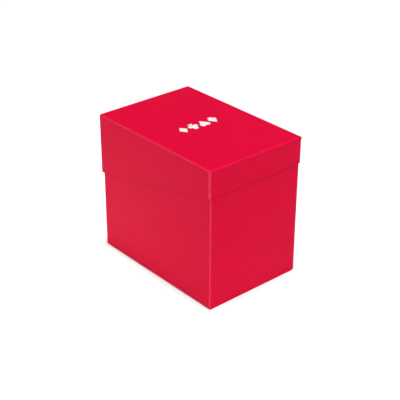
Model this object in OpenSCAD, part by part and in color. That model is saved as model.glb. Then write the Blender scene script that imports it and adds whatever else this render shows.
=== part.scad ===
// Card deck box: a folded polypropylene tray with a hinged, telescoping lid and one loose card divider.
// Millimetres, +Z up, -Y is the front, where the deep lid flap hangs and the thumb notch lies.
// The origin is at the bottom centre of the box's overall outline.

/* [Box] */
// Outside width of the base, along X
base_w = 72; // [68:0.5:110]
// Outside length of the base, along Y
base_l = 104.3; // [60:0.1:160]
// Overall height of the closed box
box_h = 94.3; // [85:0.1:120]

/* [Sheet] */
// Thickness of the plastic sheet
sheet = 0.5; // [0.45:0.05:0.6]
// Outside radius of every folded crease
fold_r = 0.85; // [0.75:0.05:1]
// Thickness of the adhesive in a lap joint
glue = 0.08; // [0.06:0.01:0.1]

/* [Base] */
// Gap between the base's rim and the underside of the closed lid
rim_gap = 0.3; // [0.3:0.05:1]
// Height of the tuck flap that closes the bottom inside the back wall
tuck_h = 20; // [12:1:35]
// Reach of each dust flap from its side wall
dust_reach = 33; // [20:0.5:33]
// Width of the glued flap of the side seam
seam_w = 14; // [8:1:20]
// Radius of the thumb notch in the front rim
notch_r = 16; // [8:0.5:22]

/* [Lid] */
// Depth of the lid's front flap, from the top of the box
flap_h = 40.7; // [20:0.1:60]
// Depth of the lid's hinge band, from the top of the box
band_h = 17.7; // [12:0.1:30]
// Clearance between each lid gusset and the base's side
side_gap = 0.07; // [0.05:0.01:0.15]
// Clearance between the lid's corner tabs and the base's front
front_gap = 0.25; // [0.15:0.01:0.5]
// Width of the glued corner tabs behind the front flap
tab_w = 14; // [8:1:20]
// Thickness of the web that is left in the hinge crease
web = 0.3; // [0.2:0.05:0.35]

/* [Printed mark] */
// Distance from one card suit to the next
pip_pitch = 8; // [8:0.1:14]
// Height of a card suit
pip_h = 8; // [4:0.1:8]
// Thickness of the printed ink
ink = 0.05; // [0.04:0.01:0.1]

/* [Divider] */
// Width of the card divider
divider_w = 68.6; // [60:0.1:68.6]
// Height of the divider's body, without its tab
divider_h = 87; // [60:0.5:87]
// Distance from the back wall to the divider as stored
divider_back = 24; // [6:0.5:50]
// Width of the divider's tab
divider_tab_w = 22; // [14:1:30]
// Height of the divider's tab
divider_tab_h = 4; // [3:0.5:5]

/* [Hidden] */
$fn = 64;
red = [0.84, 0.02, 0.16];
dark_red = [0.72, 0.02, 0.13];
white = [0.96, 0.96, 0.95];
clear = [0.93, 0.92, 0.86];

// The lid stands proud of the base by a gap and a sheet at the sides, one lap of sheet at
// the back, and a gap, a corner tab and the flap at the front.
side_over = side_gap + sheet;
back_over = glue + sheet;
front_over = front_gap + sheet + glue + sheet;
lid_w = base_w + 2 * side_over;

// Front and back faces of the base, with the whole box centred on the origin
base_y = (front_over - back_over) / 2;
front_y = base_y - base_l / 2;
back_y = base_y + base_l / 2;
lid_front_y = front_y - front_over;
lid_back_y = back_y + back_over;

// Levels of the base
lap = sheet + glue;
side_z = lap + fold_r;
rim_z = box_h - sheet - rim_gap;
flat_x = base_w / 2 - fold_r;

// The side seam: its flap lies inside the -X wall, behind a crease set in by one lap
seam_x = -base_w / 2 + lap;
seam_end = 4;

// The tuck flap lies inside the back wall, clear of the seam flap
tuck_y = back_y - lap;
tuck_x = base_w / 2 - 2 * lap - 0.5;
tuck_taper = 5;

// Dust flaps, clear of the front wall and the tuck flap, tapered towards their ends
dust_y0 = front_y + sheet + 0.3;
dust_y1 = tuck_y - sheet - 0.3;
dust_taper = 6;

// Levels and edges of the lid
flap_z = box_h - flap_h;
band_z = box_h - band_h;
crease_z = box_h - fold_r;
lid_flat_x = lid_w / 2 - fold_r;
tab_y = lid_front_y + lap;
gusset_y0 = tab_y + fold_r;
flap_x = lid_w / 2 - 0.15;
tab_taper = 5;

// The lid turns about a round bead as thick as the sheet and a little more, at the top rear edge
bead_r = 0.3;
hinge_y = lid_back_y - bead_r;
hinge_z = box_h - bead_r;
hinge_x = lid_flat_x - 0.1;
hinge_clear = 0.06;
band_top = hinge_z - 2 * bead_r;
panel_end_y = hinge_y - bead_r - hinge_clear;

// The divider stands just above the dust flaps
divider_z = lap + sheet + 0.2;
divider_y = back_y - divider_back;
corner_r = 3;

// Extrudes a side view, drawn as [y, z], from x0 to x1
module along_x(x0, x1) {
    translate([x0, 0, 0]) rotate([90, 0, 90]) linear_extrude(x1 - x0) children();
}

// Extrudes a front view, drawn as [x, z], from y0 to y1
module along_y(y0, y1) {
    translate([0, y1, 0]) rotate([90, 0, 0]) linear_extrude(y1 - y0) children();
}

// Extrudes a plan view from z0 to z1
module along_z(z0, z1) {
    translate([0, 0, z0]) linear_extrude(z1 - z0) children();
}

// Section through a crease: a quarter ring about its centre, in the quadrant with these signs
module crease(centre, sign_x, sign_y) {
    translate(centre) intersection() {
        difference() {
            circle(r = fold_r);
            circle(r = fold_r - sheet);
        }
        translate([sign_x > 0 ? 0 : -2 * fold_r, sign_y > 0 ? 0 : -2 * fold_r])
            square(2 * fold_r);
    }
}

// Rectangle between two opposite corners
module span(low, high) {
    translate(low) square(high - low);
}

// Rectangular block between two opposite corners
module slab(low, high) {
    translate(low) cube(high - low);
}

// Plan of the base's walls and their four vertical creases
module wall_plan() {
    span([-flat_x, front_y], [flat_x, front_y + sheet]);
    span([base_w / 2 - sheet, front_y + fold_r], [base_w / 2, back_y - fold_r]);
    span([-base_w / 2, front_y + fold_r], [-base_w / 2 + sheet, back_y - fold_r / 2]);
    span([seam_x + fold_r, back_y - sheet], [flat_x, back_y]);
    crease([flat_x, front_y + fold_r], 1, -1);
    crease([-flat_x, front_y + fold_r], -1, -1);
    crease([flat_x, back_y - fold_r], 1, 1);
    crease([seam_x + fold_r, back_y - fold_r], -1, 1);
}

// The seam flap, with slanted ends
module seam_flap() {
    y1 = back_y - fold_r;
    y0 = y1 - seam_w;
    along_x(seam_x, seam_x + sheet)
        polygon([[y1, side_z + 1], [y1, rim_z - 1], [y0, rim_z - 1 - seam_end], [y0, side_z + 1 + seam_end]]);
}

// Front bottom crease, bottom panel and rear crease in side view
module bottom_section() {
    crease([front_y + fold_r, fold_r], -1, -1);
    span([front_y + fold_r, 0], [tuck_y - fold_r, sheet]);
    crease([tuck_y - fold_r, fold_r], 1, -1);
}

// The +X side's bottom crease and dust flap
module dust_flap() {
    along_y(front_y + fold_r, back_y - fold_r) crease([flat_x, side_z], 1, -1);
    along_z(lap, lap + sheet)
        polygon([[flat_x, dust_y0], [flat_x, dust_y1],
                 [flat_x - dust_reach, dust_y1 - dust_taper], [flat_x - dust_reach, dust_y0 + dust_taper]]);
}

// One folded and glued blank: four walls, seam flap, dust flaps, bottom panel and tuck flap
module base_box() {
    color(red) difference() {
        union() {
            along_z(side_z, rim_z) wall_plan();
            slab([-flat_x, front_y, fold_r], [flat_x, front_y + sheet, side_z]);
            slab([seam_x + fold_r, back_y - sheet, 0], [flat_x, back_y, side_z]);
            seam_flap();
            along_x(-tuck_x, tuck_x) bottom_section();
            along_y(tuck_y - sheet, tuck_y)
                polygon([[-tuck_x, fold_r], [tuck_x, fold_r],
                         [tuck_x - tuck_taper, tuck_h], [-tuck_x + tuck_taper, tuck_h]]);
            dust_flap();
            mirror([1, 0, 0]) dust_flap();
        }
        translate([0, front_y + sheet + 1, rim_z]) rotate([90, 0, 0]) cylinder(r = notch_r, h = sheet + 2);
    }
}

// The film of adhesive between the -X wall and the seam flap
module seam_adhesive() {
    y1 = back_y - fold_r - 2;
    color(clear) slab([-base_w / 2 + sheet, y1 - seam_w + 5, side_z + 8], [seam_x, y1, rim_z - 8]);
}

// The films under both dust flaps and behind the tuck flap
module bottom_adhesive() {
    reach = dust_reach - 12;
    color(clear) {
        for (side = [-1, 1])
            translate([side * (flat_x - 6 - reach / 2), base_y, sheet + glue / 2])
                cube([reach, base_l * 0.6, glue], center = true);
        slab([-tuck_x + 10, tuck_y, 4], [tuck_x - 10, back_y - sheet, tuck_h - 4]);
    }
}

// The lid blank's back band, glued to the outside of the back wall
module hinge_band() {
    color(red) slab([-hinge_x, back_y + glue, band_z], [hinge_x, lid_back_y, band_top]);
}

// The film of adhesive between the back wall and the hinge band
module hinge_band_adhesive() {
    color(clear) slab([-hinge_x + 3, back_y, band_z + 2], [hinge_x - 3, back_y + glue, band_top - 2]);
}

// The scored crease between band and lid: a round bead on a thin web
module living_hinge() {
    color(red) along_x(-hinge_x, hinge_x) {
        translate([hinge_y, hinge_z]) circle(r = bead_r);
        span([hinge_y - web / 2, band_top], [hinge_y + web / 2, hinge_z]);
    }
}

// The +X half of what repeats on the lid: side crease, tapered gusset, front crease and glued tab
module lid_side() {
    along_y(gusset_y0, lid_back_y) crease([lid_flat_x, crease_z], 1, 1);
    along_x(lid_w / 2 - sheet, lid_w / 2)
        polygon([[gusset_y0, flap_z], [lid_back_y, band_z], [lid_back_y, crease_z], [gusset_y0, crease_z]]);
    along_z(flap_z + 0.5, crease_z - 1) crease([lid_flat_x, gusset_y0], 1, -1);
    along_y(tab_y, tab_y + sheet)
        polygon([[lid_flat_x, flap_z + 0.5], [lid_flat_x, crease_z - 1],
                 [lid_flat_x - tab_w, crease_z - 1 - tab_taper], [lid_flat_x - tab_w, flap_z + 0.5 + tab_taper]]);
}

// The moving part of the lid blank: top panel, front flap, tapered gussets and corner tabs
module lid() {
    color(red) {
        slab([-lid_flat_x, lid_front_y + fold_r, box_h - sheet], [lid_flat_x, panel_end_y, box_h]);
        along_x(-lid_flat_x, lid_flat_x) crease([lid_front_y + fold_r, crease_z], -1, 1);
        slab([-flap_x, lid_front_y, flap_z], [flap_x, lid_front_y + sheet, crease_z]);
        lid_side();
        mirror([1, 0, 0]) lid_side();
    }
}

// The films between the front flap and its corner tabs
module lid_corner_adhesive() {
    color(clear) for (side = [0, 1])
        mirror([side, 0, 0])
            slab([lid_flat_x - tab_w + 2, lid_front_y + sheet, flap_z + 8],
                 [lid_flat_x - 2, tab_y, crease_z - 8]);
}

// Where a straight line from a tip touches a circle, on its right
function touch(tip, centre, r) =
    let (away = centre - tip,
         turn = atan2(away[1], away[0]) - asin(r / norm(away)),
         reach = sqrt(away * away - r * r))
    tip + reach * [cos(turn), sin(turn)];

// Card suits of unit height, centred on the origin
module diamond() {
    polygon([[0, -0.5], [0.36, 0], [0, 0.5], [-0.36, 0]]);
}

module heart() {
    tip = [0, -0.5];
    lobe = [0.21, 0.245];
    lobe_r = 0.235;
    side = touch(tip, lobe, lobe_r);
    for (flip = [-1, 1])
        translate([flip * lobe[0], lobe[1]]) circle(r = lobe_r);
    polygon([tip, side, lobe, [-lobe[0], lobe[1]], [-side[0], side[1]]]);
}

module stem() {
    difference() {
        span([-0.22, -0.5], [0.22, -0.05]);
        for (flip = [-1, 1])
            translate([flip * 0.41, -0.13]) circle(r = 0.37);
    }
}

module spade() {
    translate([0, 0.08]) mirror([0, 1]) scale(0.84) heart();
    stem();
}

module club() {
    for (place = [[0, 0.29], [-0.235, -0.06], [0.235, -0.06]])
        translate(place) circle(r = 0.21);
    translate([0, 0.06]) circle(r = 0.12);
    stem();
}

// The printed row of card suits in the middle of the lid
module lid_mark() {
    color(white) along_z(box_h, box_h + ink) {
        translate([-1.5 * pip_pitch, 0]) scale(pip_h) spade();
        translate([-0.5 * pip_pitch, 0]) scale(pip_h) heart();
        translate([0.5 * pip_pitch, 0]) scale(pip_h) club();
        translate([1.5 * pip_pitch, 0]) scale(pip_h) diamond();
    }
}

// The loose divider: a flat sheet with rounded upper corners and a raised tab
module card_divider() {
    top = divider_z + divider_h;
    half = divider_w / 2;
    tab_x = half - corner_r - divider_tab_w;
    color(dark_red) along_y(divider_y - sheet / 2, divider_y + sheet / 2) {
        span([-half, divider_z], [half, top - corner_r]);
        span([-half + corner_r, divider_z], [half - corner_r, top]);
        for (side = [-1, 1])
            translate([side * (half - corner_r), top - corner_r]) circle(r = corner_r);
        polygon([[tab_x, top], [tab_x + divider_tab_w, top],
                 [tab_x + divider_tab_w - 2, top + divider_tab_h], [tab_x + 2, top + divider_tab_h]]);
    }
}

base_box();
seam_adhesive();
bottom_adhesive();
hinge_band();
hinge_band_adhesive();
living_hinge();
lid();
lid_corner_adhesive();
lid_mark();
card_divider();
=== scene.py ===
"""Looks of the card deck box: folded polypropylene sheet, a printed mark, a loose divider, a pale studio."""
import math

import bmesh
import bpy
from mathutils import Matrix, Vector


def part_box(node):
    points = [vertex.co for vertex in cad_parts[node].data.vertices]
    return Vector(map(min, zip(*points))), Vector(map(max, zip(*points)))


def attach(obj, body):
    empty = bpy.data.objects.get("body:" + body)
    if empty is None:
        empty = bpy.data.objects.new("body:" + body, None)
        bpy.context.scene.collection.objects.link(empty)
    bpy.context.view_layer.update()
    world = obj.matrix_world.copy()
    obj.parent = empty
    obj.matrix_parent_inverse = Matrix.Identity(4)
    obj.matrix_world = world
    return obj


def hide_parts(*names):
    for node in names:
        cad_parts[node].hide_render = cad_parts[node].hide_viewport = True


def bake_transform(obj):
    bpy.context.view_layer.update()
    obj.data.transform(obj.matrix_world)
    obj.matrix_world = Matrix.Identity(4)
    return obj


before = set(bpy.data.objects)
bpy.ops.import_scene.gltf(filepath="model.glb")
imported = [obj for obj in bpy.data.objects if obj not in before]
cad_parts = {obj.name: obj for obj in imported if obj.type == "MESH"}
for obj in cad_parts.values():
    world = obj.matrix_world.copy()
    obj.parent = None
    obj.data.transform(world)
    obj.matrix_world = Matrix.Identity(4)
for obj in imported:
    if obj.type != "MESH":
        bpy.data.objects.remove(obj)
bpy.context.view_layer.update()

MM = 0.001

# ---------------------------------------------------------------- sizes, in metres
BASE_LOW, BASE_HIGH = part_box("base_box")
LID_LOW, LID_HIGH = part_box("lid")
BAND_LOW, BAND_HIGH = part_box("hinge_band")
DIVIDER_LOW, DIVIDER_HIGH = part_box("card_divider")

# The sheet, its glued laps, the outer radius of its folds and the easing of its cut edges
SHEET = DIVIDER_HIGH.y - DIVIDER_LOW.y
GLUE = BAND_LOW.y - BASE_HIGH.y
LAP = SHEET + GLUE
FOLD = 0.85 * MM
CUT_EASE = 0.06 * MM

# Thumb notch: its radius and that of the two lips beside it
NOTCH = 16 * MM
NOTCH_LIP = 1.5 * MM

# Flaps: how far each reaches from its fold, how much it narrows on the way and the gap it keeps
SEAM_FLAP = 14 * MM
SEAM_SLANT_BELOW = 5 * MM
SEAM_SLANT_ABOVE = 6 * MM
TUCK_FLAP = 20 * MM
TUCK_SLANT = 5 * MM
TUCK_SIDE_GAP = 0.5 * MM
DUST_FLAP = 33 * MM
DUST_NARROWING = 12 * MM
DUST_END_GAP = 0.3 * MM
CORNER_TAB = 14 * MM
TAB_SLANT = 5 * MM
TAB_SETBACK = 0.5 * MM
FRONT_FLAP_GAP = 0.15 * MM

# Divider: its corner radius, the raised tab's width and height, and the run of the tab's slanted sides
DIVIDER_CORNER = 3 * MM
DIVIDER_TAB = 22 * MM
DIVIDER_TAB_RISE = 4 * MM
DIVIDER_TAB_SLANT = 2 * MM

# Base: wall faces, rim, the height of the side walls' bottom folds, the half width between folds, and where
# the seam flap, the tuck flap and the ends of the dust flaps lie
FRONT = BASE_LOW.y
BACK = BASE_HIGH.y
SIDE = BASE_HIGH.x
RIM = BASE_HIGH.z
SIDE_FOLD_Z = LAP + FOLD
PANEL_X = SIDE - FOLD
SEAM_X = -SIDE + LAP
TUCK_X = SIDE - 2 * LAP - TUCK_SIDE_GAP
TUCK_Y = BACK - LAP
DUST_END = TUCK_Y - SHEET - DUST_END_GAP

# The rear corners touch the ground at the back wall and stop this far above it at the side walls
CORNER_LIFT = 0.3 * MM

# Everything of the base below this height counts as its bottom
BOTTOM_ZONE = 3 * MM

# Lid: outside faces, fold lines, the lower edges of the front flap and the band, and the corner tabs' face
TOP = LID_HIGH.z
LID_FRONT = LID_LOW.y
LID_BACK = LID_HIGH.y
LID_SIDE = LID_HIGH.x
LID_PANEL_X = LID_SIDE - FOLD
LID_FOLD_Z = TOP - FOLD
FLAP_Z = LID_LOW.z
BAND_Z = BAND_LOW.z
TAB_Y = LID_FRONT + LAP
GUSSET_Y = TAB_Y + FOLD

# The rear margin of a lid gusset, which curls in: how wide it is, its radius and the height below the top
# fold over which the curl sets in
CURL_REACH = 2.1 * MM
CURL_RADIUS = 4.5 * MM
CURL_FADE = 1.5 * MM

# A painted highlight along that margin, as a pale strip: how far before the edge it starts, and its width if
# the edge didn't cut it short
PAINTED_HIGHLIGHT_START = 2.8 * MM
PAINTED_HIGHLIGHT_WIDTH = 3.4 * MM

# How far a wall bows out between its folds
WALL_BOW = 0.2 * MM

# Whitening and painted highlight along the two edges of a fold, where its middle has 1 and a flat panel 0
FOLD_EDGE = 0.12

# Mesh fineness: the usual step, the first step beside a fold, and the parts of each round or narrow stretch
STEP = 3.5 * MM
NEAR_FOLD = 0.3 * MM
FOLD_PARTS = 8
NOTCH_PARTS = 14
LIP_PARTS = 5
MARGIN_PARTS = 6
REAR_FOLD_PARTS = 4
TAB_PARTS = 5
DIVIDER_PARTS = 12

# Where the points of a divider's rounded corner are, in degrees round it
DIVIDER_CORNER_ANGLES = (0, 15, 30, 45, 60, 75, 84, 90)

# Places closer than this are the same, and vertices closer than the second are welded
SAME = 0.001 * MM
WELD = 0.002 * MM

# Angles between faces, in degrees, from which shading is sharp and from which an edge is a cut one
SHARP_ANGLE = 40
CUT_ANGLE = 60


# ---------------------------------------------------------------- mesh tools
def stops(start, end):
    """Places from start to end about a step apart, with one more just inside each end."""
    length = abs(end - start)
    way = 1 if end > start else -1
    inside = length - 2 * NEAR_FOLD
    count = max(1, round(inside / STEP))
    inner = [start + way * (NEAR_FOLD + inside * i / count) for i in range(count + 1)]
    return [start, *inner, end]


def fractions(length):
    return [s / length for s in stops(0, length)]


def mix(a, b, share):
    return a + (b - a) * share


def bump(share):
    """0 at both ends and 1 in the middle, flat at all three."""
    return math.sin(math.pi * min(1, max(0, share))) ** 2


def crease(share):
    """Whitening and painted highlight across a fold: least along its two edges, most along its middle."""
    return mix(FOLD_EDGE, 1, bump(share))


class Skin:
    """The outside face of a folded sheet, made of grids of quads that share their edges."""

    def __init__(self, name):
        self.name = name
        self.bm = bmesh.new()
        self.fold = self.bm.verts.layers.float.new("fold")

    def grid(self, rows):
        """Rows of (place, fold) pairs. fold weighs whitening and painted highlight: 1 on a fold, 0 on a flat
        panel.
        """
        made = []
        for row in rows:
            line = []
            for place, fold in row:
                v = self.bm.verts.new(place)
                v[self.fold] = fold
                line.append(v)
            made.append(line)
        for low, high in zip(made, made[1:]):
            for i in range(len(low) - 1):
                self.bm.faces.new((low[i], low[i + 1], high[i + 1], high[i]))

    def sheet(self, material, cut, outward):
        """The finished piece: welded, turned outward, given its thickness and eased cut edges."""
        bmesh.ops.remove_doubles(self.bm, verts=self.bm.verts, dist=WELD)
        bmesh.ops.recalc_face_normals(self.bm, faces=self.bm.faces)
        facing = 0
        for face in self.bm.faces:
            facing += face.normal.dot(outward(face.calc_center_median())) * face.calc_area()
        if facing < 0:
            bmesh.ops.reverse_faces(self.bm, faces=self.bm.faces)
        mesh = bpy.data.meshes.new(self.name)
        self.bm.to_mesh(mesh)
        self.bm.free()
        piece = link(self.name, mesh, material)
        mesh.materials.append(cut)
        shell = piece.modifiers.new("thickness", "SOLIDIFY")
        shell.thickness = SHEET
        shell.offset = -1
        shell.use_even_offset = True
        shell.material_offset_rim = 1
        edges = piece.modifiers.new("cut_edges", "BEVEL")
        edges.width = CUT_EASE
        edges.segments = 2
        edges.limit_method = "ANGLE"
        edges.angle_limit = math.radians(CUT_ANGLE)
        return settle(piece)


def link(name, mesh, material):
    piece = bpy.data.objects.new(name, mesh)
    bpy.context.scene.collection.objects.link(piece)
    mesh.materials.append(material)
    return piece


def settle(piece):
    """Applies the modifiers and sets smooth shading with sharp cut edges."""
    view = bpy.context.evaluated_depsgraph_get()
    mesh = bpy.data.meshes.new_from_object(piece.evaluated_get(view))
    piece.modifiers.clear()
    piece.data = mesh
    mesh.shade_smooth()
    mesh.set_sharp_from_angle(angle=math.radians(SHARP_ANGLE))
    return piece


# ---------------------------------------------------------------- columns of a folded wall
class Column:
    """One upright line of a folded wall: its place and outward direction in plan."""

    def __init__(self, x, y, normal, fold=0.0, share=0.0):
        self.x = x
        self.y = y
        self.normal = normal
        self.fold = fold
        self.share = share

    def at(self, z, out=0.0):
        return Vector((self.x + self.normal[0] * out, self.y + self.normal[1] * out, z))


def straight(start, end, normal, places=None):
    """Columns along a flat wall, from one plan point to another."""
    columns = []
    for s in places or fractions(math.dist(start, end)):
        fold = FOLD_EDGE if s in (0, 1) else 0
        columns.append(Column(mix(start[0], end[0], s), mix(start[1], end[1], s), normal, fold, s))
    return columns


def bend(centre, start, end):
    """Columns round a fold, from one direction to another, in degrees."""
    columns = []
    for i in range(1, FOLD_PARTS):
        angle = math.radians(mix(start, end, i / FOLD_PARTS))
        normal = (math.cos(angle), math.sin(angle))
        place = (centre[0] + FOLD * normal[0], centre[1] + FOLD * normal[1])
        columns.append(Column(*place, normal, crease(i / FOLD_PARTS)))
    return columns


def curl(start, end, lean=1):
    """Angles round a fold, with its whitening and painted highlight at each. A lean over 1 moves both
    towards the end.
    """
    shares = [i / FOLD_PARTS for i in range(FOLD_PARTS + 1)]
    return [(math.radians(mix(start, end, s)), crease(s ** lean)) for s in shares]


# ---------------------------------------------------------------- material tools
# How much each finer layer of a noise counts, and the two values that most of a noise lies between
NOISE_ROUGHNESS = 0.55
NOISE_LOW = 0.3
NOISE_HIGH = 0.7

# The colour sockets of a Mix node, which has others of the same names
MIX_COLOUR_A = 6
MIX_COLOUR_B = 7
MIX_COLOUR_OUT = 2


def node(tree, kind, **inputs):
    made = tree.nodes.new(kind)
    for name, value in inputs.items():
        made.inputs[name].default_value = value
    return made


def noise(tree, where, scale, detail):
    made = node(tree, "ShaderNodeTexNoise", Scale=scale, Detail=detail, Roughness=NOISE_ROUGHNESS)
    tree.links.new(where, made.inputs["Vector"])
    return made.outputs["Fac"]


def remap(tree, value, low, high, start=0.0, end=1.0):
    """Goes from low to high as the value goes from start to end, and stays there beyond."""
    made = node(tree, "ShaderNodeMapRange")
    made.inputs["From Min"].default_value = start
    made.inputs["From Max"].default_value = end
    made.inputs["To Min"].default_value = low
    made.inputs["To Max"].default_value = high
    tree.links.new(value, made.inputs["Value"])
    return made.outputs["Result"]


def spread(tree, pattern, middle, amount):
    """A noise pattern as a value that varies by an amount either side of a middle."""
    return remap(tree, pattern, middle - amount, middle + amount, NOISE_LOW, NOISE_HIGH)


def maths(tree, operation, a, b):
    made = tree.nodes.new("ShaderNodeMath")
    made.operation = operation
    for socket, value in zip(made.inputs, (a, b)):
        if isinstance(value, float):
            socket.default_value = value
        else:
            tree.links.new(value, socket)
    return made.outputs["Value"]


def blend_colour(tree, share, a, b):
    made = tree.nodes.new("ShaderNodeMix")
    made.data_type = "RGBA"
    tree.links.new(share, made.inputs["Factor"])
    for place, value in ((MIX_COLOUR_A, a), (MIX_COLOUR_B, b)):
        if isinstance(value, tuple):
            made.inputs[place].default_value = (*value, 1)
        else:
            tree.links.new(value, made.inputs[place])
    return made.outputs[MIX_COLOUR_OUT]


def relief(tree, height, strength, depth, under=None):
    """The surface direction with a pattern raised on it, over another relief if there is one."""
    made = node(tree, "ShaderNodeBump", Strength=strength, Distance=depth)
    tree.links.new(height, made.inputs["Height"])
    if under is not None:
        tree.links.new(under, made.inputs["Normal"])
    return made.outputs["Normal"]


def surface(name):
    """A new material, its node tree, its shader and the piece's own coordinates."""
    material = bpy.data.materials.new(name)
    material.use_nodes = True
    tree = material.node_tree
    shader = tree.nodes["Principled BSDF"]
    where = tree.nodes.new("ShaderNodeTexCoord").outputs["Object"]
    return material, tree, shader, where


# ---------------------------------------------------------------- materials
# Polypropylene: its sheen and index of refraction, its roughness on a face and on a cut edge, and how much
# of its colour its darker parts have
SHEEN = 0.03
POLYPROPYLENE_IOR = 1.49
FACE_ROUGHNESS = 0.36
CUT_ROUGHNESS = 0.5
DARKER = 0.955

RED_COLOUR = (0.61, 0.0009, 0.033)
RED_CUT_COLOUR = (0.6, 0.004, 0.042)
DIVIDER_COLOUR = (0.53, 0.0008, 0.028)
DIVIDER_CUT_COLOUR = (0.54, 0.004, 0.036)
# Pale fold colours: partly whitening of the bent sheet, partly painted highlight; the hinge crease has its
# own copy
FOLD_WEAR_AND_HIGHLIGHT_COLOUR = (0.78, 0.05, 0.108)
HINGE_WEAR_AND_HIGHLIGHT_COLOUR = (0.78, 0.008, 0.07)
INK_THIN = (0.72, 0.68, 0.69)
INK_FULL = (0.82, 0.8, 0.8)
GLUE_CLEAR = (0.93, 0.91, 0.84)
GLUE_THICK = (0.78, 0.74, 0.62)


def polypropylene(name, colour, wear_and_highlight, roughness):
    """Extruded sheet: a fine grain, slow waviness, slight upright streaks, and folds paler by whitening and
    painted highlight.
    """
    material, tree, shader, where = surface(name)
    grain = noise(tree, where, scale=2600, detail=2)
    mottle = noise(tree, where, scale=90, detail=4)
    wave = noise(tree, where, scale=26, detail=1)
    upright = node(tree, "ShaderNodeMapping", Scale=(1, 1, 0.03))
    tree.links.new(where, upright.inputs["Vector"])
    streak = noise(tree, upright.outputs["Vector"], scale=700, detail=2)

    # The fold weight mixes in a paler colour: partly the bent sheet's whitening, partly a painted highlight
    attribute = tree.nodes.new("ShaderNodeAttribute")
    attribute.attribute_name = "fold"
    wear_and_highlight_breakup = remap(tree, noise(tree, where, scale=420, detail=3), low=0.45, high=0.85, start=0.3, end=0.65)
    wear_and_highlight_share = maths(tree, "MULTIPLY", attribute.outputs["Fac"], wear_and_highlight_breakup)

    darker = tuple(c * DARKER for c in colour)
    body = blend_colour(tree, remap(tree, mottle, low=0, high=1, start=0.35, end=0.65), darker, colour)
    tree.links.new(blend_colour(tree, wear_and_highlight_share, body, wear_and_highlight), shader.inputs["Base Color"])

    rough = spread(tree, grain, middle=roughness, amount=0.04)
    rough = maths(tree, "ADD", rough, spread(tree, mottle, middle=0, amount=0.03))
    rough = maths(tree, "ADD", rough, spread(tree, streak, middle=0, amount=0.02))
    tree.links.new(rough, shader.inputs["Roughness"])
    shader.inputs["Specular IOR Level"].default_value = SHEEN
    shader.inputs["IOR"].default_value = POLYPROPYLENE_IOR

    fine = relief(tree, grain, strength=0.12, depth=0.02 * MM)
    drawn = relief(tree, streak, strength=0.1, depth=0.02 * MM, under=fine)
    slow = relief(tree, wave, strength=0.35, depth=0.25 * MM, under=drawn)
    tree.links.new(slow, shader.inputs["Normal"])
    return material


def ink(name):
    """Opaque screen-printed ink with a faint mesh texture and thin spots."""
    material, tree, shader, where = surface(name)
    spots = remap(tree, noise(tree, where, scale=700, detail=3), low=0, high=1, start=0.35, end=0.75)
    tree.links.new(blend_colour(tree, spots, INK_THIN, INK_FULL), shader.inputs["Base Color"])
    rough = remap(tree, noise(tree, where, scale=3000, detail=1), low=0.42, high=0.6)
    tree.links.new(rough, shader.inputs["Roughness"])
    shader.inputs["Specular IOR Level"].default_value = 0.3
    film = relief(tree, noise(tree, where, scale=2200, detail=2), strength=0.15, depth=0.02 * MM)
    tree.links.new(film, shader.inputs["Normal"])
    return material


def adhesive(name):
    """Clear adhesive that dried with small bubbles."""
    material, tree, shader, where = surface(name)
    bubbles = node(tree, "ShaderNodeTexVoronoi", Scale=900)
    tree.links.new(where, bubbles.inputs["Vector"])
    share = remap(tree, bubbles.outputs["Distance"], low=0, high=1, start=0.1, end=0.6)
    tree.links.new(blend_colour(tree, share, GLUE_CLEAR, GLUE_THICK), shader.inputs["Base Color"])
    tree.links.new(remap(tree, share, low=0.2, high=0.4), shader.inputs["Roughness"])
    dried = relief(tree, bubbles.outputs["Distance"], strength=0.3, depth=0.03 * MM)
    tree.links.new(dried, shader.inputs["Normal"])
    return material


RED = polypropylene("red_sheet", RED_COLOUR, FOLD_WEAR_AND_HIGHLIGHT_COLOUR, FACE_ROUGHNESS)
# The hinge crease's own copy of the sheet, with a less pink painted highlight on its fold
HINGE_RED = polypropylene("red_hinge", RED_COLOUR, HINGE_WEAR_AND_HIGHLIGHT_COLOUR, FACE_ROUGHNESS)
RED_CUT = polypropylene("red_cut_edge", RED_CUT_COLOUR, FOLD_WEAR_AND_HIGHLIGHT_COLOUR, CUT_ROUGHNESS)
DIVIDER_RED = polypropylene("divider_sheet", DIVIDER_COLOUR, FOLD_WEAR_AND_HIGHLIGHT_COLOUR, FACE_ROUGHNESS)
DIVIDER_CUT = polypropylene("divider_cut_edge", DIVIDER_CUT_COLOUR, FOLD_WEAR_AND_HIGHLIGHT_COLOUR, CUT_ROUGHNESS)
INK = ink("white_ink")
GLUE_FILM = adhesive("adhesive")


# ---------------------------------------------------------------- base
def notch_profile():
    """Places along the front rim as (x, drop below the rim), from the -X end to the +X end."""
    reach = NOTCH + NOTCH_LIP
    lip_x = math.sqrt(reach ** 2 - NOTCH_LIP ** 2)
    meet = math.acos(lip_x / reach)
    right = []
    for i in range(NOTCH_PARTS + 1):
        angle = mix(math.pi / 2, meet, i / NOTCH_PARTS)
        right.append((NOTCH * math.cos(angle), NOTCH * math.sin(angle)))
    for i in range(1, LIP_PARTS + 1):
        angle = mix(meet, math.pi / 2, i / LIP_PARTS)
        right.append((lip_x - NOTCH_LIP * math.cos(angle), NOTCH_LIP - NOTCH_LIP * math.sin(angle)))
    right += [(x, 0) for x in stops(lip_x, PANEL_X)[1:]]
    left = [(-x, drop) for x, drop in reversed(right[1:])]
    return left + right


def wall_bow(column, z):
    """How far a wall bows out between its folds, below what the lid covers."""
    covered = mix(FLAP_Z, BAND_Z, (column.y - FRONT) / (BACK - FRONT))
    return WALL_BOW * bump(column.share) * bump((z - SIDE_FOLD_Z) / (covered - SIDE_FOLD_Z))


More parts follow.
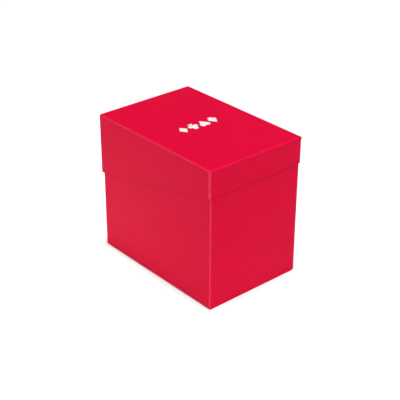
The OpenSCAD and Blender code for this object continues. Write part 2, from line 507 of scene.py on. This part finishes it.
def base_ring():
    """The walls, corners and seam flap: one ring of (column, bottom, top), and each one's columns."""
    front_fold = FRONT + FOLD
    back_fold = BACK - FOLD
    profile = notch_profile()
    shares = [(x + PANEL_X) / (2 * PANEL_X) for x, drop in profile]
    drops = [drop for x, drop in profile]

    # The side walls share the dust flaps' places, and the left one goes on to a cut edge past its rear fold
    side_ys = stops(front_fold, DUST_END) + [(DUST_END + back_fold) / 2, back_fold]
    right_shares = [(y - front_fold) / (back_fold - front_fold) for y in side_ys]
    left_end = back_fold + FOLD / 2
    left_shares = [0] + [(left_end - y) / (left_end - front_fold) for y in reversed(side_ys)]

    left = straight((-SIDE, left_end), (-SIDE, front_fold), (-1, 0), left_shares)
    corner_1 = bend((-PANEL_X, front_fold), 180, 270)
    front = straight((-PANEL_X, FRONT), (PANEL_X, FRONT), (0, -1), shares)
    corner_2 = bend((PANEL_X, front_fold), 270, 360)
    right = straight((SIDE, front_fold), (SIDE, back_fold), (1, 0), right_shares)
    corner_3 = bend((PANEL_X, back_fold), 0, 90)
    back = straight((PANEL_X, BACK), (SEAM_X + FOLD, BACK), (0, 1))
    corner_4 = bend((SEAM_X + FOLD, back_fold), 90, 180)
    seam = straight((SEAM_X, back_fold), (SEAM_X, back_fold - SEAM_FLAP), (-1, 0))

    ring = []
    walls = (left, corner_1, front, corner_2, right, corner_3, back, corner_4, seam)
    for wall in walls:
        for i, column in enumerate(wall):
            low = SIDE_FOLD_Z
            high = RIM
            if wall is front:
                high -= drops[i]
            if wall is seam:
                low += SEAM_SLANT_BELOW * column.share
                high -= SEAM_SLANT_ABOVE * column.share
            ring.append((column, low, high))
    return ring, walls


def base_walls(skin, ring):
    """The walls above their bottom folds."""
    rows = []
    for s in fractions(RIM - SIDE_FOLD_Z):
        row = []
        for column, low, high in ring:
            z = mix(low, high, s)
            out = 0 if column.share in (0, 1) else wall_bow(column, z)
            row.append((column.at(z, out), column.fold))
        rows.append(row)
    skin.grid(rows)


def base_corners(skin, walls):
    """The front wall and its corners, down to the bottom fold, and the rear ones, almost to the ground."""
    left, corner_1, front, corner_2, right, corner_3, back, corner_4, seam = walls
    front_run = [left[-1], *corner_1, *front, *corner_2, right[0]]
    skin.grid([[(c.at(z), c.fold) for c in front_run] for z in (FOLD, FOLD + NEAR_FOLD, SIDE_FOLD_Z)])
    back_run = [right[-1], *corner_3, *back, *corner_4, seam[0]]
    for run in (back_run, left[:2]):
        rows = []
        for s in (0, 0.5, 1):
            rows.append([(c.at(mix(CORNER_LIFT * (1 - c.normal[1]), SIDE_FOLD_Z, s)), c.fold) for c in run])
        skin.grid(rows)


def bottom_panel(skin, front):
    """Bottom fold, bottom panel, rear fold and tuck flap, which share the front wall's columns."""
    across = [c.x / PANEL_X for c in front]
    front_fold = FRONT + FOLD
    rear_fold = TUCK_Y - FOLD
    section = []
    for a, fold in curl(0, 90):
        section.append((front_fold - FOLD * math.cos(a), FOLD - FOLD * math.sin(a), fold, PANEL_X))
    for y in stops(front_fold, rear_fold)[1:-1]:
        section.append((y, 0, 0, mix(PANEL_X, TUCK_X, (y - front_fold) / (rear_fold - front_fold))))
    for a, fold in curl(0, 90):
        section.append((rear_fold + FOLD * math.sin(a), FOLD - FOLD * math.cos(a), fold, TUCK_X))
    for z in stops(FOLD, TUCK_FLAP)[1:]:
        section.append((TUCK_Y, z, 0, TUCK_X - TUCK_SLANT * (z / TUCK_FLAP) ** 2))
    skin.grid([[(Vector((s * wide, y, z)), fold) for s in across] for y, z, fold, wide in section])


def dust_flap(skin, side, wall):
    """A side wall's bottom fold and the flap that lies on the bottom panel, narrower towards its end."""
    ys = [c.y for c in wall if c.y < BACK - FOLD + SAME]
    rows = []
    for a, fold in curl(0, 90):
        x = side * (PANEL_X + FOLD * math.cos(a))
        rows.append([(Vector((x, y, SIDE_FOLD_Z - FOLD * math.sin(a))), fold) for y in ys])
    skin.grid(rows)

    ys = [y for y in ys if y < DUST_END + SAME]
    middle = (ys[0] + ys[-1]) / 2
    end_width = 1 - DUST_NARROWING / abs(ys[-1] - ys[0])
    rows = []
    for s in fractions(DUST_FLAP):
        x = side * (PANEL_X - DUST_FLAP * s)
        rows.append([(Vector((x, middle + (y - middle) * mix(1, end_width, s), LAP)), 0) for y in ys])
    skin.grid(rows)


def out_of_base(place):
    if place.z > BOTTOM_ZONE:
        return Vector((place.x, place.y, 0))
    return Vector((0, 0, -1))


def base_blank():
    """One folded blank: walls, seam flap, bottom panel, tuck flap and two dust flaps."""
    skin = Skin("base_blank")
    ring, walls = base_ring()
    left, front, right = walls[0], walls[2], walls[4]
    base_walls(skin, ring)
    base_corners(skin, walls)
    bottom_panel(skin, front)
    for side, wall in ((-1, left), (1, right)):
        dust_flap(skin, side, wall)
    piece = skin.sheet(RED, RED_CUT, out_of_base)
    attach(piece, "base")
    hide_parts("base_box")


# ---------------------------------------------------------------- lid
def gusset_edge(y):
    """Height of the tapered lower edge of a lid side."""
    return mix(FLAP_Z, BAND_Z, (y - GUSSET_Y) / (LID_BACK - GUSSET_Y))


def gusset_curl(y, z):
    """How far a gusset's rear margin curls in round the end of the hinge band."""
    along = max(0, y - (LID_BACK - CURL_REACH))
    return (CURL_RADIUS - math.sqrt(CURL_RADIUS ** 2 - along ** 2)) * min(1, (LID_FOLD_Z - z) / CURL_FADE)


def lid_side_folds(skin, ys, side):
    """The fold between the top panel and a gusset, and the rounded corner at its front end."""
    front_fold = LID_FRONT + FOLD
    edge = []
    corner = []
    # A lean of 2 moves the painted highlight down the fold, towards the gusset
    for a, fold in curl(0, 90, lean=2):
        out = FOLD * math.sin(a)
        z = LID_FOLD_Z + FOLD * math.cos(a)
        edge.append([(Vector((side * (LID_PANEL_X + out), y, z)), fold) for y in [front_fold] + ys])
        row = []
        for b, _ in curl(0, 90):
            x = side * (LID_PANEL_X + out * math.sin(b))
            row.append((Vector((x, front_fold - out * math.cos(b), z)), fold))
        corner.append(row)
    skin.grid(edge)
    skin.grid(corner)


def lid_side(skin, ys, side):
    """Side fold, rounded front corner, tapered gusset, front fold and glued corner tab."""
    lid_side_folds(skin, ys, side)
    columns = []
    for y in reversed(ys):
        # A painted highlight strip along the gusset's rear margin, carried in the fold weight
        painted_highlight_strip = bump((y - LID_BACK + PAINTED_HIGHLIGHT_START) / PAINTED_HIGHLIGHT_WIDTH)
        fold = FOLD_EDGE if y == ys[0] else painted_highlight_strip
        columns.append((Column(side * LID_SIDE, y, (side, 0), fold), gusset_edge(y), LID_FOLD_Z))
    turn = bend((LID_PANEL_X, GUSSET_Y), 0, -90)
    for i, c in enumerate(turn):
        setback = TAB_SETBACK * (i + 1) / len(turn)
        c = Column(side * c.x, c.y, (side * c.normal[0], c.normal[1]), c.fold)
        columns.append((c, FLAP_Z + setback, LID_FOLD_Z - setback))
    for c in straight((LID_PANEL_X, TAB_Y), (LID_PANEL_X - CORNER_TAB, TAB_Y), (0, -1)):
        setback = TAB_SETBACK + TAB_SLANT * c.share
        columns.append((Column(side * c.x, c.y, c.normal, c.fold), FLAP_Z + setback, LID_FOLD_Z - setback))
    rows = []
    for s in fractions(LID_FOLD_Z - FLAP_Z):
        row = []
        for c, low, high in columns:
            z = mix(high, low, s)
            row.append((c.at(z, -gusset_curl(c.y, z)), c.fold))
        rows.append(row)
    skin.grid(rows)


def out_of_lid(place):
    if place.z < LID_FOLD_Z - MM:
        return Vector((place.x, place.y, 0))
    return Vector((0, 0, 1))


def lid_top(skin, xs, ys):
    """The top panel, the fold at its front and the front flap."""
    front_fold = LID_FRONT + FOLD
    rows = []
    for y in [front_fold] + ys:
        row = []
        for x in xs:
            at_fold = x in (xs[0], xs[-1]) or y in (front_fold, ys[-1])
            row.append((Vector((x, y, TOP)), FOLD_EDGE if at_fold else 0))
        rows.append(row)
    skin.grid(rows)
    rows = []
    for a, fold in curl(0, 90):
        y = front_fold - FOLD * math.sin(a)
        rows.append([(Vector((x, y, LID_FOLD_Z + FOLD * math.cos(a))), fold) for x in xs])
    skin.grid(rows)

    # The front flap widens just below its fold to cover the corner tabs' folds
    widest = (LID_SIDE - FRONT_FLAP_GAP) / LID_PANEL_X
    rows = []
    for z in stops(LID_FOLD_Z, FLAP_Z):
        wide = mix(1, widest, min(1, (LID_FOLD_Z - z) / NEAR_FOLD))
        rows.append([(Vector((x * wide, LID_FRONT, z)), FOLD_EDGE if z == LID_FOLD_Z else 0) for x in xs])
    skin.grid(rows)


def lid_blank():
    """The lid's part of its blank: top panel, front flap, two gussets and two corner tabs."""
    skin = Skin("lid_blank")
    back_fold = LID_BACK - FOLD
    curl_start = LID_BACK - max(CURL_REACH, PAINTED_HIGHLIGHT_START)
    ys = stops(GUSSET_Y, curl_start)
    ys += [mix(curl_start, back_fold, (i + 1) / MARGIN_PARTS) for i in range(MARGIN_PARTS)]
    panel_ys = list(ys)
    ys += [mix(back_fold, LID_BACK, (i + 1) / REAR_FOLD_PARTS) for i in range(REAR_FOLD_PARTS)]
    lid_top(skin, stops(-LID_PANEL_X, LID_PANEL_X), panel_ys)
    for side in (-1, 1):
        lid_side(skin, ys, side)
    piece = skin.sheet(RED, RED_CUT, out_of_lid)
    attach(piece, "lid")
    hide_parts("lid")


# ---------------------------------------------------------------- hinge
def hinge_band():
    """The short back flap of the lid blank, glued to the back wall."""
    skin = Skin("hinge_band_sheet")
    xs = stops(BAND_LOW.x, BAND_HIGH.x)
    rows = []
    for z in stops(BAND_Z, LID_FOLD_Z):
        rows.append([(Vector((x, LID_BACK, z)), FOLD_EDGE if z == LID_FOLD_Z else 0) for x in xs])
    skin.grid(rows)
    piece = skin.sheet(RED, RED_CUT, lambda place: Vector((0, 1, 0)))
    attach(piece, "base")
    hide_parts("hinge_band")


def crease_section(centre):
    """Places round the crease's section as (y, z, fold): its outside, then its inside on the way back.

    There is none half way round.
    """
    turns = [i / FOLD_PARTS for i in range(FOLD_PARTS + 1) if 2 * i != FOLD_PARTS]
    outline = []
    for radius, order in ((FOLD, turns), (FOLD - SHEET, turns[::-1])):
        for s in order:
            angle = math.pi / 2 * s
            place = (centre.y + radius * math.cos(angle), centre.z + radius * math.sin(angle))
            outline.append((*place, crease(s)))
    return outline


def hinge_crease():
    """The fold between the band and the lid's top panel."""
    centre = Vector((0, LID_BACK - FOLD, LID_FOLD_Z))
    section = crease_section(centre)
    bm = bmesh.new()
    fold_layer = bm.verts.layers.float.new("fold")
    rings = []
    for x in stops(BAND_LOW.x, BAND_HIGH.x):
        ring = []
        for y, z, fold in section:
            v = bm.verts.new((x, y, z))
            v[fold_layer] = fold
            ring.append(v)
        rings.append(ring)
    for a, b in zip(rings, rings[1:]):
        for i in range(len(a)):
            j = (i + 1) % len(a)
            bm.faces.new((a[i], a[j], b[j], b[i]))
    for ring in (rings[0], rings[-1]):
        for i in range(len(ring) // 2 - 1):
            bm.faces.new((ring[i], ring[i + 1], ring[-i - 2], ring[-i - 1]))
    bmesh.ops.recalc_face_normals(bm, faces=bm.faces)
    mesh = bpy.data.meshes.new("hinge_crease")
    bm.to_mesh(mesh)
    bm.free()
    piece = settle(link("hinge_crease", mesh, HINGE_RED))
    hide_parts("living_hinge")
    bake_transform(piece)


# ---------------------------------------------------------------- divider
def divider_top(x, body_top):
    """Height of the divider's upper edge at x without the tab: level, with a rounded corner at each end."""
    past = abs(x) - (DIVIDER_HIGH.x - DIVIDER_CORNER)
    if past > 0:
        return body_top - DIVIDER_CORNER + math.sqrt(max(0, DIVIDER_CORNER ** 2 - past ** 2))
    return body_top


def card_divider():
    """A flat sheet with rounded corners and a raised tab with slanted sides."""
    skin = Skin("divider_sheet")
    body_top = DIVIDER_HIGH.z - DIVIDER_TAB_RISE
    straight_end = DIVIDER_HIGH.x - DIVIDER_CORNER
    tab_right = straight_end
    tab_left = tab_right - DIVIDER_TAB
    level = (tab_left + DIVIDER_TAB_SLANT, tab_right - DIVIDER_TAB_SLANT)
    rounds = [straight_end + DIVIDER_CORNER * math.sin(math.radians(a)) for a in DIVIDER_CORNER_ANGLES]
    tab = [tab_left] + [mix(*level, i / TAB_PARTS) for i in range(TAB_PARTS + 1)]
    plain = [mix(-straight_end, tab_left, i / DIVIDER_PARTS) for i in range(DIVIDER_PARTS)]
    columns = []
    for x in sorted([-x for x in rounds[1:]] + plain + tab + rounds):
        top = divider_top(x, body_top)
        if tab_left < x < tab_right:
            inside = min(x - tab_left, tab_right - x)
            top += DIVIDER_TAB_RISE * min(1, inside / DIVIDER_TAB_SLANT)
        columns.append((x, top))
    rows = []
    for s in fractions(DIVIDER_HIGH.z - DIVIDER_LOW.z):
        rows.append([(Vector((x, DIVIDER_HIGH.y, mix(DIVIDER_LOW.z, top, s))), 0) for x, top in columns])
    skin.grid(rows)
    piece = skin.sheet(DIVIDER_RED, DIVIDER_CUT, lambda place: Vector((0, 1, 0)))
    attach(piece, "divider")
    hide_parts("card_divider")


# ---------------------------------------------------------------- studio
# Camera: what it aims at, the direction and distance it looks from, its tilt, lens and sensor
CAMERA_AIM = Vector((0.6, 2.46, 42.98)) * MM
CAMERA_AZIMUTH = 139.04
CAMERA_ELEVATION = 28.28
CAMERA_DISTANCE = 671.2 * MM
CAMERA_ROLL = 0.25
LENS = 94.8
SENSOR = 36

LIGHT_DISTANCE = 2.6
WORLD_LIGHT = 0.05

# Floor: the radius of its flat middle, the width and height of the quarter ellipse that its edge rises
# along, how much of that ellipse it follows, its mesh and its two shades
FLOOR_FLAT = 2.6
FLOOR_SWEEP = 1.4
FLOOR_RISE = 0.9
FLOOR_STEEPNESS = 0.98
FLOOR_SIDES = 48
FLAT_RINGS = 6
SWEEP_RINGS = 10
FLOOR_DIM = (0.83, 0.83, 0.83)
FLOOR_PALE = (0.86, 0.86, 0.86)

# Light that the floor gives: the middle and radius of its bright pool, and the strip round the box where
# it fades out
POOL_MIDDLE = (0.1, -0.08, 0)
POOL_RADIUS = 0.3
CONTACT_WIDTH = 12 * MM


def direction(azimuth, elevation):
    """Unit vector towards a place seen at that azimuth and elevation; azimuth 0 is the front."""
    a = math.radians(azimuth)
    e = math.radians(elevation)
    return Vector((math.sin(a) * math.cos(e), -math.cos(a) * math.cos(e), math.sin(e)))


def look(obj, towards, roll=0.0):
    turn = (-towards).to_track_quat("-Z", "Y")
    obj.rotation_mode = "QUATERNION"
    obj.rotation_quaternion = turn @ Matrix.Rotation(math.radians(roll), 3, "Z").to_quaternion()


def camera():
    data = bpy.data.cameras.new("camera")
    data.lens = LENS
    data.sensor_width = SENSOR
    obj = bpy.data.objects.new("camera", data)
    bpy.context.scene.collection.objects.link(obj)
    back = direction(CAMERA_AZIMUTH, CAMERA_ELEVATION)
    obj.location = CAMERA_AIM + back * CAMERA_DISTANCE
    look(obj, back, CAMERA_ROLL)
    bpy.context.scene.camera = obj


def softbox(name, azimuth, elevation, size, power):
    data = bpy.data.lights.new(name, "AREA")
    data.shape = "SQUARE"
    data.size = size
    data.energy = power
    obj = bpy.data.objects.new(name, data)
    bpy.context.scene.collection.objects.link(obj)
    back = direction(azimuth, elevation)
    obj.location = back * LIGHT_DISTANCE
    obj.visible_camera = False
    look(obj, back)


def distance_from(tree, where, place):
    made = tree.nodes.new("ShaderNodeVectorMath")
    made.operation = "DISTANCE"
    made.inputs[1].default_value = place
    tree.links.new(where, made.inputs[0])
    return made.outputs["Value"]


def outside_box(tree, where):
    """How far a place on the floor is outside the box's footprint, along X or Y."""
    parts = tree.nodes.new("ShaderNodeSeparateXYZ")
    tree.links.new(where, parts.inputs[0])
    beyond_side = maths(tree, "SUBTRACT", maths(tree, "ABSOLUTE", parts.outputs["X"], 0.0), SIDE)
    beyond_end = maths(tree, "SUBTRACT", maths(tree, "ABSOLUTE", parts.outputs["Y"], 0.0), BACK)
    return maths(tree, "MAXIMUM", beyond_side, beyond_end)


def floor_mesh():
    """A round table top, flat under the object and rising in a shallow sweep far away."""
    rings = [FLOOR_FLAT * (i + 1) / FLAT_RINGS for i in range(FLAT_RINGS)]
    rings += [FLOOR_FLAT + FLOOR_SWEEP * (i + 1) / SWEEP_RINGS for i in range(SWEEP_RINGS)]
    bm = bmesh.new()
    middle = bm.verts.new((0, 0, 0))
    made = []
    for radius in rings:
        share = FLOOR_STEEPNESS * max(0, radius - FLOOR_FLAT) / FLOOR_SWEEP
        height = FLOOR_RISE * (1 - math.sqrt(1 - share ** 2))
        ring = []
        for i in range(FLOOR_SIDES):
            angle = math.tau * i / FLOOR_SIDES
            ring.append(bm.verts.new((radius * math.cos(angle), radius * math.sin(angle), height)))
        made.append(ring)
    for i in range(FLOOR_SIDES):
        j = (i + 1) % FLOOR_SIDES
        bm.faces.new((middle, made[0][i], made[0][j]))
        for low, high in zip(made, made[1:]):
            bm.faces.new((low[i], high[i], high[j], low[j]))
    mesh = bpy.data.meshes.new("floor")
    bm.to_mesh(mesh)
    bm.free()
    mesh.shade_smooth()
    return mesh


def floor():
    """A pale table that gives a soft light of its own, except right beside the box."""
    material, tree, shader, where = surface("floor")
    shade = spread(tree, noise(tree, where, scale=3, detail=2), middle=0.5, amount=0.5)
    tree.links.new(blend_colour(tree, shade, FLOOR_DIM, FLOOR_PALE), shader.inputs["Base Color"])
    shader.inputs["Roughness"].default_value = 0.9
    shader.inputs["Specular IOR Level"].default_value = 0.1

    from_middle = distance_from(tree, where, (0, 0, 0))
    glow = remap(tree, from_middle, low=0.05, high=0.25, start=0.4, end=1.6)
    pool = remap(tree, distance_from(tree, where, POOL_MIDDLE), low=0.7, high=0.0, end=POOL_RADIUS)
    backdrop = remap(tree, from_middle, low=0.0, high=0.28, start=1.8, end=3.2)
    light = maths(tree, "ADD", maths(tree, "ADD", glow, pool), backdrop)
    contact = remap(tree, outside_box(tree, where), low=0, high=1, end=CONTACT_WIDTH)
    light = maths(tree, "MULTIPLY", light, contact)
    shader.inputs["Emission Color"].default_value = (1, 1, 1, 1)
    tree.links.new(light, shader.inputs["Emission Strength"])
    mesh = floor_mesh()
    link("floor", mesh, material)


def studio():
    floor()
    world = bpy.data.worlds.new("studio")
    world.use_nodes = True
    world.node_tree.nodes["Background"].inputs["Color"].default_value = (1, 1, 1, 1)
    world.node_tree.nodes["Background"].inputs["Strength"].default_value = WORLD_LIGHT
    bpy.context.scene.world = world
    softbox("key", azimuth=145, elevation=44, size=1.1, power=12)
    softbox("overhead", azimuth=145, elevation=71, size=1.8, power=75)
    softbox("left_fill", azimuth=280, elevation=26, size=1.2, power=21)
    softbox("front_fill", azimuth=355, elevation=10, size=0.8, power=15)
    bpy.context.scene.view_settings.view_transform = "Standard"


# ---------------------------------------------------------------- put together
def dress(name, material):
    """Gives a CAD node that stays as it is its material."""
    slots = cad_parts[name].data.materials
    slots.clear()
    slots.append(material)


camera()
studio()
base_blank()
lid_blank()
hinge_band()
hinge_crease()
card_divider()
dress("lid_mark", INK)
for film in ("seam_adhesive", "bottom_adhesive", "hinge_band_adhesive", "lid_corner_adhesive"):
    dress(film, GLUE_FILM)
